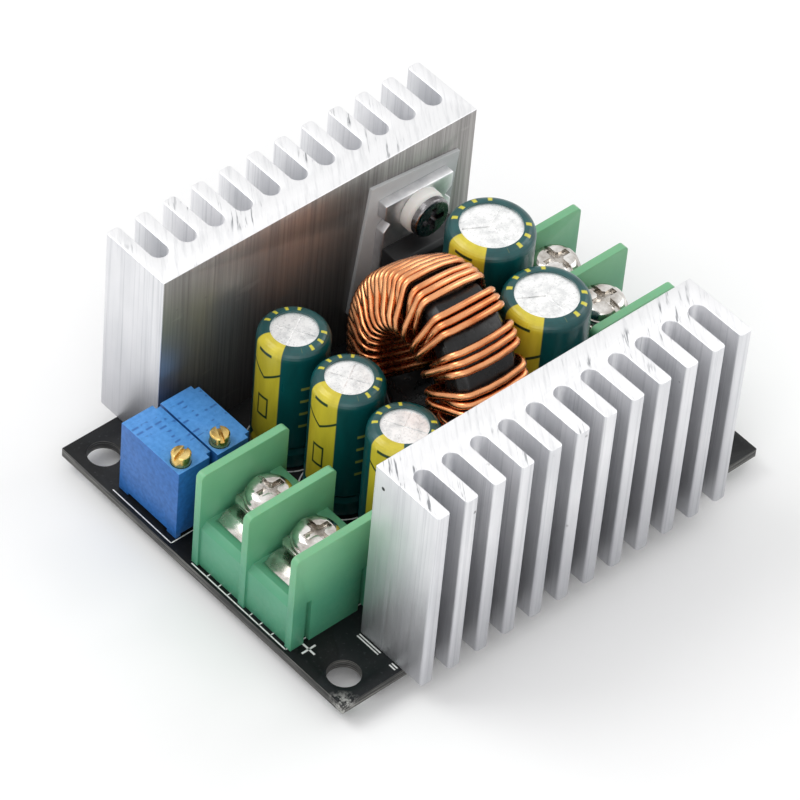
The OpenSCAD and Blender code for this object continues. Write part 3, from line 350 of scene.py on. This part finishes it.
def shrink_sleeve(name, centre, radius, height, facing):
    """PVC shrink sleeve: glossy dark teal with one yellow polarity band, which faces the angle given and
    runs over the shoulder. The band carries a dark V, a bar and a frame, and the rim and one side have
    plain ticks."""
    material, tree, shader, coord = start_material(
        name, {"IOR": 1.5, "Coat Weight": 0.15, "Coat Roughness": 0.1})
    moved = add(tree, "VectorMath", coord, centre, operation="SUBTRACT")
    place = add(tree, "SeparateXYZ", moved).outputs
    z = place["Z"]
    angle = add(tree, "Math", place["Y"], place["X"], operation="ARCTAN2")
    angle = add(tree, "Math", angle, operation="DEGREES")
    # Degrees from the middle of the band, to one side and the other, and to either side
    angle = add(tree, "Math", angle, facing, operation="SUBTRACT")
    turned = add(tree, "Math", angle, 180.0, -180.0, operation="WRAP")
    side = add(tree, "Math", turned, operation="ABSOLUTE")

    film = stretched(tree, coord, (700, 700, 150))
    tone = add(tree, "MapRange", film, 0.3, 0.7)
    teal = add(tree, "Mix", tone, "#075152", "#043f41", data_type="RGBA")
    yellow = add(tree, "Mix", tone, "#dccb3a", "#c5b52e", data_type="RGBA")

    # On the band: a frame, a V and a bar
    outer = add(tree, "Math", between(tree, z, 0.38 * height, 0.56 * height, 0.03 * MM),
                between(tree, turned, -11, 11, 0.5), operation="MULTIPLY")
    inner = add(tree, "Math", between(tree, z, 0.4 * height, 0.54 * height, 0.03 * MM),
                between(tree, turned, -8, 8, 0.5), operation="MULTIPLY")
    frame_line = add(tree, "Math", outer, inner, operation="SUBTRACT")
    lowered = add(tree, "Math", side, -0.05 * MM, z, operation="MULTIPLY_ADD")
    vee = between(tree, lowered, 0.715 * height, 0.735 * height, 0.05 * MM)
    bar = add(tree, "Math", between(tree, z, height - 1.3 * MM, height - 0.9 * MM, 0.05 * MM),
              between(tree, turned, -15, 12, 0.6), operation="MULTIPLY")
    marks = add(tree, "Math", vee, bar, operation="MAXIMUM")
    marks = add(tree, "Math", marks, frame_line, operation="MAXIMUM")
    yellow = add(tree, "Mix", marks, yellow, "#1f3d26", data_type="RGBA")

    # Ticks on the rim, one each 25 degrees
    squares = [add(tree, "Math", place[axis], place[axis], operation="MULTIPLY") for axis in "XY"]
    reach = add(tree, "Math", add(tree, "Math", *squares, operation="ADD"), operation="SQRT")
    ticks = add(tree, "Math", add(tree, "Math", turned, 25.0, operation="DIVIDE"), operation="FRACT")
    on_rim = add(tree, "MapRange", z, height - 0.5 * MM, height - 0.4 * MM)
    for mask in (between(tree, reach, radius - 1.2 * MM, radius - 0.55 * MM, 0.03 * MM),
                 between(tree, ticks, 0.2, 0.46, 0.04), between(tree, side, 62, 150, 1)):
        on_rim = add(tree, "Math", on_rim, mask, operation="MULTIPLY")

    # A ladder of fainter ticks up the side, one each 1.9 mm
    rungs = add(tree, "Math", add(tree, "Math", z, 1.9 * MM, operation="DIVIDE"), operation="FRACT")
    rungs = between(tree, rungs, 0.25, 0.45, 0.03)
    for mask in (between(tree, turned, 62, 76, 0.6),
                 between(tree, z, 0.3 * height, 0.78 * height, 0.02 * MM),
                 add(tree, "MapRange", film, 0.3, 0.4, 0.5, 0.8), 0.55):
        rungs = add(tree, "Math", rungs, mask, operation="MULTIPLY")
    ticks = add(tree, "Math", on_rim, rungs, operation="MAXIMUM")
    teal = add(tree, "Mix", ticks, teal, "#d2c93c", data_type="RGBA")

    band = between(tree, turned, -28, 28, 0.8)
    finish_surface(tree, shader, add(tree, "Mix", band, teal, yellow, data_type="RGBA"),
                   add(tree, "MapRange", film, 0.2, 0.8, 0.26, 0.36),
                   add(tree, "Bump", Height=film, Distance=0.03 * MM, Strength=0.5))
    return material


def drawn_can():
    """Drawn aluminium cup: bright satin top speckled with fine grey, mottled by handling."""
    material, tree, shader, coord = start_material("drawn_aluminium", {"Metallic": 0.85})
    grain = stretched(tree, coord, (4200, 4200, 4200), 3, 0.7)
    mottle = add(tree, "MapRange", stretched(tree, coord, (600, 600, 600), 4, 0.7), 0.45, 0.65)
    colour = add(tree, "Mix", mottle, "#fbfbfa", "#dfe0e0", data_type="RGBA")
    speckle = add(tree, "MapRange", grain, 0.55, 0.7, 0, 0.5)
    colour = add(tree, "Mix", speckle, colour, "#a7a8aa", data_type="RGBA")
    finish_surface(tree, shader, colour, add(tree, "MapRange", grain, 0.2, 0.8, 0.36, 0.5),
                   add(tree, "Bump", Height=grain, Distance=0.02 * MM, Strength=0.5))
    return material


# The record's material slots and what makes each one's finish
FINISHES = {
    "board_mask": solder_mask,
    "solder": lambda: plated("tin_solder", "#c9cbce", "#9fa2a6", 0.28),
    "heatsink_aluminium": mill_aluminium,
    "tinned_tab": lambda: plated("tinned_copper_tab", "#eeeeef", "#cfd0d3", 0.42),
    "black_moulding": lambda: moulded("epoxy_moulding", "#1b1c1e", "#151617", 0.5),
    "tinned_lead": lambda: plated("tinned_wire", "#cfd0d2", "#aeb0b3", 0.26),
    "grey_pad": lambda: moulded("silicone_pad", "#c9cbcc", "#b6b8b9", 0.6),
    "white_bushing": lambda: moulded("nylon_bushing", "#efeeea", "#e4e2dc", 0.45, 0.1),
    "black_screw": lambda: plated("dark_nickel_steel", "#9b999a", "#504f52", 0.22),
    "blue_case": marked_case,
    "brass_screw": lambda: plated("turned_brass", "#efd38c", "#c59c4c", 0.24),
    "green_block": terminal_green,
    "nickel_plate": lambda: plated("nickel_plated_brass", "#e6e3de", "#a9a39a", 0.2),
    "nickel_screw": lambda: plated("nickel_plated_steel", "#e9e6e2", "#9d958c", 0.15),
    "capacitor_can": drawn_can,
    "rubber_seal": lambda: moulded("butyl_rubber", "#1b1b1b", "#121212", 0.6),
    "core_coat": core_coat,
    "enamelled_copper": enamelled_copper,
    "chip_ceramic": lambda: moulded("fired_ceramic", "#a58a66", "#8d7556", 0.5),
}
made = {}


def finish_for(slot):
    """The material of a record slot, made the first time it is asked for."""
    if slot not in made:
        made[slot] = FINISHES[slot]()
    return made[slot]


# ---- modelling ----

def pick(*objects):
    """Selects only these objects, the first one active."""
    bpy.ops.object.select_all(action="DESELECT")
    for piece in objects:
        piece.select_set(True)
    bpy.context.view_layer.objects.active = objects[0]


def dress(piece, material):
    """Gives a piece this one material."""
    piece.data.materials.clear()
    piece.data.materials.append(material)


def declare(piece, node):
    """The piece stands for a CAD node, rides on its body and takes its finish."""
    dress(piece, finish_for(SLOT_OF[node]))
    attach(piece, BODY_OF[node])
    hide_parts(node)


def smooth(piece, angle=SHARP):
    """Shades a piece smooth, apart from its sharp edges."""
    pick(piece)
    bpy.ops.object.shade_smooth_by_angle(angle=math.radians(angle))


def round_edges(piece, width, segments):
    """Rounds the sharp edges of a piece with an applied bevel of this width."""
    pick(piece)
    bevel = piece.modifiers.new("edges", "BEVEL")
    bevel.width = width
    bevel.segments = segments
    bevel.limit_method = "ANGLE"
    bevel.angle_limit = math.radians(SHARP)
    bpy.ops.object.modifier_apply(modifier=bevel.name)
    smooth(piece)


def softened(node, width, segments=2):
    """Copy of a CAD node with its triangles merged and its edges rounded, as those of moulded, sawn or
    pressed parts are."""
    piece = bpy.data.objects.new(node + "_finished", frame["nodes"][node].data.copy())
    bpy.context.collection.objects.link(piece)
    pick(piece)
    bpy.ops.object.mode_set(mode="EDIT")
    bpy.ops.mesh.select_all(action="SELECT")
    bpy.ops.mesh.remove_doubles(threshold=1e-6)
    bpy.ops.mesh.dissolve_limited(angle_limit=math.radians(0.5))
    bpy.ops.object.mode_set(mode="OBJECT")
    round_edges(piece, width, segments)
    return piece


def dress_nodes(*nodes):
    """Gives carried-over nodes their own finish."""
    for node in nodes:
        dress(frame["nodes"][node], finish_for(SLOT_OF[node]))


# Printed lines on the board as (from x, from y, to x, to y, width) in millimetres
LEGEND = [
    # Outline beside the output block and its capacitors
    (-29.6, 1.74, -29.6, -13.6, 0.14), (-29.6, -13.6, -17.0, -13.6, 0.14),
    # Two double bars near the corner
    (-22.39, -16.81, -22.39, -20.0, 0.16), (-22.05, -16.81, -22.05, -20.0, 0.16),
    (-22.39, -21.96, -22.39, -22.7, 0.16), (-22.05, -21.96, -22.05, -22.7, 0.16),
    # Plain cross
    (-28.48, -15.05, -26.83, -15.05, 0.24), (-27.65, -15.88, -27.65, -14.22, 0.24),
    # Corner of the trimmers' outline
    (-29.5, 5.35, -18.7, 5.35, 0.12), (-29.5, 5.35, -29.5, 15.1, 0.12)]
# Short ticks inwards from the outline beside the output block, each at its y
LEGEND += [(-29.6, y, -29.13, y, 0.12) for y in (-0.64, -2.48, -4.0, -7.6, -9.23, -11.08)]
# Printed circles round the output capacitors: centres, radius and width
CIRCLES = [(-10.15, y) for y in (9.15, 0.25, -8.65)]
CIRCLE_RADIUS = 4.5
CIRCLE_WIDTH = 0.16
# Thickness of the ink
INK = 0.02


def printed_bars():
    """Thin raised bars of ink, one for each line and circle of the legend, as one piece."""
    bars = []
    z = BOARD_TOP + INK / 2 * MM
    for x0, y0, x1, y1, width in LEGEND:
        middle = ((x0 + x1) / 2 * MM, (y0 + y1) / 2 * MM, z)
        size = (abs(x1 - x0) + width, abs(y1 - y0) + width, INK)
        bpy.ops.mesh.primitive_cube_add(size=1, location=middle, scale=[c * MM for c in size])
        bars.append(bpy.context.active_object)
    for x, y in CIRCLES:
        bpy.ops.mesh.primitive_cylinder_add(vertices=64, radius=(CIRCLE_RADIUS + CIRCLE_WIDTH / 2) * MM,
                                            depth=INK * MM, end_fill_type="NOTHING",
                                            location=(x * MM, y * MM, z))
        bpy.ops.object.mode_set(mode="EDIT")
        bpy.ops.mesh.solidify(thickness=CIRCLE_WIDTH * MM)
        bpy.ops.object.mode_set(mode="OBJECT")
        bars.append(bpy.context.active_object)
    pick(*bars)
    bpy.ops.object.join()
    bars[0].name = "legend"
    bpy.ops.object.transform_apply(location=True, rotation=True, scale=True)
    return bars[0]


# ---- sizes that a user would change ----

class WindingSizes(bpy.types.PropertyGroup):
    wire: FloatProperty(
        name="Wire", description="Diameter of one strand",
        default=0.86 * MM, unit="LENGTH", subtype="DISTANCE")
    strands: IntProperty(
        name="Strands", description="Wires wound side by side", default=3)
    open_turns: IntProperty(
        name="Open turns", description="Turns spread out on the far half of the ring", default=7)
    close_turns: IntProperty(
        name="Close turns", description="Turns packed together on the near half", default=8)
    first_turn: FloatProperty(
        name="First turn", description="Angle of the first turn round the ring",
        default=math.radians(218), unit="ROTATION", subtype="ANGLE")


class EdgeSizes(bpy.types.PropertyGroup):
    sawn: FloatProperty(
        name="Sawn edge", description="Rounding of the heatsinks' edges",
        default=0.12 * MM, unit="LENGTH", subtype="DISTANCE")
    moulded: FloatProperty(
        name="Moulded edge", description="Rounding of moulded edges",
        default=0.15 * MM, unit="LENGTH", subtype="DISTANCE")
    board: FloatProperty(
        name="Board edge", description="Rounding of the board's routed edges",
        default=0.06 * MM, unit="LENGTH", subtype="DISTANCE")


class StageColours(bpy.types.PropertyGroup):
    floor: FloatVectorProperty(
        name="Floor", description="Colour of the floor",
        default=(0.95, 0.95, 0.95), size=3, min=0, max=1, subtype="COLOR")


# ---- the ring's winding, by the same rules as the ring's own frame ----

# Millimetres and degrees, apart from the shares: a mid, start or end is part of the way from one guide
# point to the next, and a mid_layer is part of a layer's rise. The ring's near end face looks to -X.
RING = {
    "od": 22.9, "id": 14.1, "w": 7.6, "yaw": -11, "pitch": 6.2, "x": 1.05, "y": -1.7, "lift": 1.0,
    # From turn to turn in the open half, in the close half and over the gap, and from strand to strand
    "open_step": 22, "close_step": 14.4, "gap_step": 18.5, "strand_open": 5.01, "strand_close": 4.8,
    # Rise of the second layer, gap to the ring, bend at its corners, and slant over the rim
    "rise": 0.91, "clear": 0.06, "corner": 1.3, "drift": 6,
    # Straight out over the near face, then over the far face to the next turn
    "near_mid": 0.5, "near_mid_layer": 0.46,
    "far_start": 0.25, "far_mid": 0.39, "far_end": 0.6, "far_mid_layer": 0.62,
    # The ends, which leave the ring and go straight down through the board
    "lead_lean": 12, "lead_step": 6.23, "lead_mid": 0.39,
    "lead_out": 1.2, "lead_in": 0.6, "lead_bend": 1, "lead_foot": 0.02}


def ring_to_board(point):
    """A point in the ring's own frame, whose axis is z, as a point on the board, in millimetres."""
    pitch, yaw = math.radians(RING["pitch"]), math.radians(RING["yaw"])
    a = math.radians(90 + RING["pitch"])
    z0 = BOARD_TOP / MM + RING["lift"] + RING["od"] / 2 * math.cos(pitch) + RING["w"] / 2 * math.sin(pitch)
    x = point[0] * math.cos(a) + point[2] * math.sin(a)
    y, z = point[1], -point[0] * math.sin(a) + point[2] * math.cos(a)
    return Vector((RING["x"] + x * math.cos(yaw) - y * math.sin(yaw),
                   RING["y"] + x * math.sin(yaw) + y * math.cos(yaw), z0 + z))


def strand_path(s, sizes):
    """Centre line of strand s in millimetres: up from its hole, turn by turn round the ring, and down."""
    wire = sizes.wire / MM
    outer, bore, half = RING["od"] / 2, RING["id"] / 2, RING["w"] / 2
    clear, r = wire / 2 + RING["clear"], RING["corner"]
    side, middle = half + clear, (outer + bore) / 2
    turns, first = sizes.open_turns + sizes.close_turns, math.degrees(sizes.first_turn)
    place = s - (sizes.strands - 1) / 2

    # Each of these gives an angle or a height at turn g
    def turn(g):
        if g < sizes.open_turns:
            return first - g * RING["open_step"]
        return (first - (sizes.open_turns - 1) * RING["open_step"] - RING["gap_step"]
                - (g - sizes.open_turns) * RING["close_step"])

    def rim(g):
        return turn(g) - place * (RING["strand_open"] if g < sizes.open_turns else RING["strand_close"])

    def inner(g):
        return turn(g) - place * RING["strand_close"]

    def layer(g):
        return (g + s) % 2 * RING["rise"]

    def blend(a, b, share):
        return a + (b - a) * share

    # Guide points are (angle round the ring, distance from its axis, w along its axis)
    def corner(radius, w, a0, t0, t1):
        return [(blend(t0, t1, k / 2), radius + r * math.cos(math.radians(a0 + 45 * k)),
                 w + r * math.sin(math.radians(a0 + 45 * k))) for k in range(3)]

    def bore_corner(g, end, a0, t0):
        return corner(bore - clear - layer(g) + r, end * (side + layer(g) - r), a0, t0, inner(g))

    def rim_corner(end, a0, t0, t1):
        return corner(outer + clear - r, end * (side - r), a0, t0, t1)

    def point(angle, radius, w):
        a = math.radians(angle)
        return ring_to_board((-radius * math.sin(a), radius * math.cos(a), w))

    def lead_angle(end):
        near = turn(0) + RING["lead_lean"] if end > 0 else turn(turns - 1) - RING["lead_lean"]
        return near - place * RING["lead_step"]

    def lead(end, g):
        angle = lead_angle(end)
        top = point(angle, outer + RING["lead_out"], end * side)
        heights = (RING["lead_foot"], BOARD_TOP / MM, top.z - RING["lead_bend"])
        return [*(Vector((top.x, top.y, z)) for z in heights),
                point(angle, outer - RING["lead_in"], end * side),
                point(blend(angle, inner(g), RING["lead_mid"]), middle, end * (side + layer(g)))]

    path = lead(1, 0)
    for g in range(turns):
        entered = blend(rim(g - 1) - RING["drift"], inner(g), RING["far_end"]) if g else inner(g)
        steps = bore_corner(g, 1, 90, entered) + bore_corner(g, -1, 180, inner(g))
        if g < turns - 1:
            crossed, following = rim(g) - RING["drift"], inner(g + 1)
            steps.append((blend(inner(g), rim(g), RING["near_mid"]), middle,
                          -side - layer(g) * RING["near_mid_layer"]))
            steps += rim_corner(-1, 270, rim(g), rim(g))
            steps += rim_corner(1, 0, crossed, blend(crossed, following, RING["far_start"]))
            steps.append((blend(crossed, following, RING["far_mid"]), middle,
                          side + layer(g + 1) * RING["far_mid_layer"]))
        path += [point(*step) for step in steps]
    return path + lead(-1, turns - 1)[::-1]


# ---- operators ----

# Rounding of the edges of small parts, in millimetres
SMALL_EDGES = {"device_tab": 0.1, "device_case": 0.12, "insulating_pad": 0.06, "bushing": 0.2,
               "trimmer_screw": 0.06, "contacts": 0.12, "clamp": 0.12, "screw": 0.1, "inductor_core": 0.25}
# Angle in degrees, counted from +X towards +Y, that the middle of each sleeve's polarity band faces
BAND_FACINGS = {"output_1": 181.5, "output_2": 184, "output_3": 199, "input_1": 192, "input_2": 195}
# Area lamps as (name, width in metres, place, watts), all turned to a point on the module
LAMPS = (("key", 0.5, (-0.35, 0.45, 0.7), 2.6), ("fill", 0.6, (-0.5, -0.5, 0.45), 1.2),
         ("side", 0.4, (0.6, -0.1, 0.5), 1.0))
LAMP_TARGET = Vector((0, 0, 0.01))
# Strength of the white world as light on the object; seen, mirrored or through glass it is 1
WORLD_LIGHT = 0.72
# The camera's place in metres, its turn in degrees, and its lens and sensor width in millimetres
CAMERA_PLACE = (-0.27544, -0.26987, 0.41145)
CAMERA_TURN = (43.726, -3.840, -41.320)
CAMERA_LENS, CAMERA_SENSOR = 232.32, 36
FLOOR_SIZE = 6


class Making:
    bl_options = {"REGISTER"}


class CONVERTER_OT_board(Making, bpy.types.Operator):
    """Finishes the board"""
    bl_idname = "converter.board"
    bl_label = "Board"

    def execute(self, context):
        board = softened("circuit_board", context.scene.converter_edges.board)
        declare(board, "circuit_board")
        legend = printed_bars()
        dress(legend, board_print())
        pick(board, legend)
        bpy.ops.object.join()
        dress_nodes("solder_joints", "controller_chip", "chip_resistors", "chip_capacitors")
        return {"FINISHED"}


class CONVERTER_OT_heatsinks(Making, bpy.types.Operator):
    """Finishes the two finned heatsinks"""
    bl_idname = "converter.heatsinks"
    bl_label = "Heatsinks"

    def execute(self, context):
        for node in ("heatsink_front", "heatsink_rear"):
            declare(softened(node, context.scene.converter_edges.sawn), node)
        return {"FINISHED"}


class CONVERTER_OT_devices(Making, bpy.types.Operator):
    """Finishes the power devices with their pads, bushings and screws"""
    bl_idname = "converter.devices"
    bl_label = "Power devices"

    def execute(self, context):
        for side in ("front", "rear"):
            for part in ("device_tab", "device_case", "insulating_pad", "bushing"):
                node = part + "_" + side
                declare(softened(node, SMALL_EDGES[part] * MM), node)
            dress_nodes("device_leads_" + side, "device_screw_" + side)
        return {"FINISHED"}


class CONVERTER_OT_trimmers(Making, bpy.types.Operator):
    """Finishes the trimmers"""
    bl_idname = "converter.trimmers"
    bl_label = "Trimmers"

    def execute(self, context):
        for n in ("1", "2"):
            case, screw = "trimmer_case_" + n, "trimmer_screw_" + n
            declare(softened(case, context.scene.converter_edges.moulded), case)
            declare(softened(screw, SMALL_EDGES["trimmer_screw"] * MM), screw)
            dress_nodes("trimmer_pins_" + n)
        return {"FINISHED"}


class CONVERTER_OT_terminals(Making, bpy.types.Operator):
    """Finishes the screw terminals at both ends"""
    bl_idname = "converter.terminals"
    bl_label = "Terminals"

    def execute(self, context):
        for side in ("output", "input"):
            block, contacts = side + "_block", side + "_contacts"
            declare(softened(block, context.scene.converter_edges.moulded), block)
            declare(softened(contacts, SMALL_EDGES["contacts"] * MM), contacts)
            for n in ("1", "2"):
                for part in ("clamp", "screw"):
                    node = f"{side}_{part}_{n}"
                    declare(softened(node, SMALL_EDGES[part] * MM), node)
        return {"FINISHED"}


class CONVERTER_OT_capacitors(Making, bpy.types.Operator):
    """Finishes the capacitors, with a polarity band on each sleeve"""
    bl_idname = "converter.capacitors"
    bl_label = "Capacitors"

    def execute(self, context):
        for place, facing in BAND_FACINGS.items():
            side, n = place.split("_")
            sleeve = f"{side}_sleeve_{n}"
            low, high = (Vector(corner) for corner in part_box(sleeve))
            centre = ((low.x + high.x) / 2, (low.y + high.y) / 2, low.z)
            finish = shrink_sleeve("pvc_sleeve_" + place, centre, (high.x - low.x) / 2, high.z - low.z,
                                   facing)
            dress(frame["nodes"][sleeve], finish)
            dress_nodes(f"{side}_can_{n}", f"{side}_seal_{n}", f"{side}_leads_{n}")
        return {"FINISHED"}


class CONVERTER_OT_inductor(Making, bpy.types.Operator):
    """Winds the ring with round enamelled wire"""
    bl_idname = "converter.inductor"
    bl_label = "Inductor"

    def execute(self, context):
        sizes = context.scene.converter_winding
        curve = bpy.data.curves.new("winding", "CURVE")
        curve.dimensions = "3D"
        curve.resolution_u = 3
        curve.bevel_depth = sizes.wire / 2
        curve.bevel_resolution = 2
        curve.use_fill_caps = True
        for s in range(sizes.strands):
            path = strand_path(s, sizes)
            spline = curve.splines.new("BEZIER")
            spline.bezier_points.add(len(path) - 1)
            for knot, place in zip(spline.bezier_points, path):
                knot.co = place * MM
                knot.handle_left_type = knot.handle_right_type = "AUTO"
        piece = bpy.data.objects.new("copper_winding", curve)
        context.collection.objects.link(piece)
        pick(piece)
        bpy.ops.object.convert(target="MESH")
        piece = context.active_object
        smooth(piece, 60)
        declare(piece, "inductor_winding")
        core = softened("inductor_core", SMALL_EDGES["inductor_core"] * MM, segments=3)
        declare(core, "inductor_core")
        return {"FINISHED"}


class CONVERTER_OT_stage(Making, bpy.types.Operator):
    """Sets the floor, the lights and the camera"""
    bl_idname = "converter.stage"
    bl_label = "Stage"

    def execute(self, context):
        scene = context.scene
        bpy.ops.mesh.primitive_plane_add(size=FLOOR_SIZE, location=(0, 0, CAD_BOX[0][2]))
        floor = context.active_object
        floor.name = "floor"
        colour = (*scene.converter_stage.floor, 1.0)
        dress(floor, start_material("matt_paper", {"Roughness": 0.9, "Base Color": colour})[0])

        scene.world = bpy.data.worlds.new("studio")
        scene.world.use_nodes = True
        tree = scene.world.node_tree
        rays = add(tree, "LightPath").outputs
        seen = add(tree, "Math", rays["Is Camera Ray"], rays["Is Glossy Ray"], operation="MAXIMUM")
        seen = add(tree, "Math", seen, rays["Is Transmission Ray"], operation="MAXIMUM")
        background = tree.nodes["Background"].inputs
        background["Color"].default_value = (1, 1, 1, 1)
        feed(tree, background["Strength"], add(tree, "MapRange", seen, 0, 1, WORLD_LIGHT, 1.0))

        for name, size, place, power in LAMPS:
            bpy.ops.object.light_add(type="AREA", location=place)
            lamp = context.active_object
            lamp.name = name
            lamp.data.size = size
            lamp.data.energy = power
            lamp.rotation_euler = (LAMP_TARGET - Vector(place)).to_track_quat("-Z", "Y").to_euler()

        bpy.ops.object.camera_add(location=CAMERA_PLACE, rotation=[math.radians(a) for a in CAMERA_TURN])
        scene.camera = context.active_object
        scene.camera.data.sensor_width = CAMERA_SENSOR
        scene.camera.data.lens = CAMERA_LENS
        scene.view_settings.view_transform = "Standard"
        return {"FINISHED"}


class CONVERTER_PT_panel(bpy.types.Panel):
    """Lists the pieces in the order in which they are made"""
    bl_idname = "CONVERTER_PT_panel"
    bl_label = "Converter"
    bl_space_type = "VIEW_3D"
    bl_region_type = "UI"
    bl_category = "Converter"

    def draw(self, context):
        for group in (getattr(context.scene, name) for name in GROUPS):
            for name in group.__annotations__:
                self.layout.prop(group, name)
        for step in STEPS:
            self.layout.operator(step.bl_idname)


GROUPS = {"converter_winding": WindingSizes, "converter_edges": EdgeSizes, "converter_stage": StageColours}
# In the order in which they run
STEPS = (CONVERTER_OT_board, CONVERTER_OT_heatsinks, CONVERTER_OT_devices, CONVERTER_OT_trimmers,
         CONVERTER_OT_terminals, CONVERTER_OT_capacitors, CONVERTER_OT_inductor, CONVERTER_OT_stage)


def register():
    for kind in (*GROUPS.values(), *STEPS, CONVERTER_PT_panel):
        bpy.utils.register_class(kind)
    for name, kind in GROUPS.items():
        setattr(bpy.types.Scene, name, PointerProperty(type=kind))


def unregister():
    for name in GROUPS:
        delattr(bpy.types.Scene, name)
    for kind in (CONVERTER_PT_panel, *STEPS[::-1], *GROUPS.values()):
        bpy.utils.unregister_class(kind)


def main():
    """Makes every piece and the stage."""
    register()
    for step in STEPS:
        getattr(bpy.ops.converter, step.bl_idname.split(".")[1])()


if __name__ == "__main__":
    main()
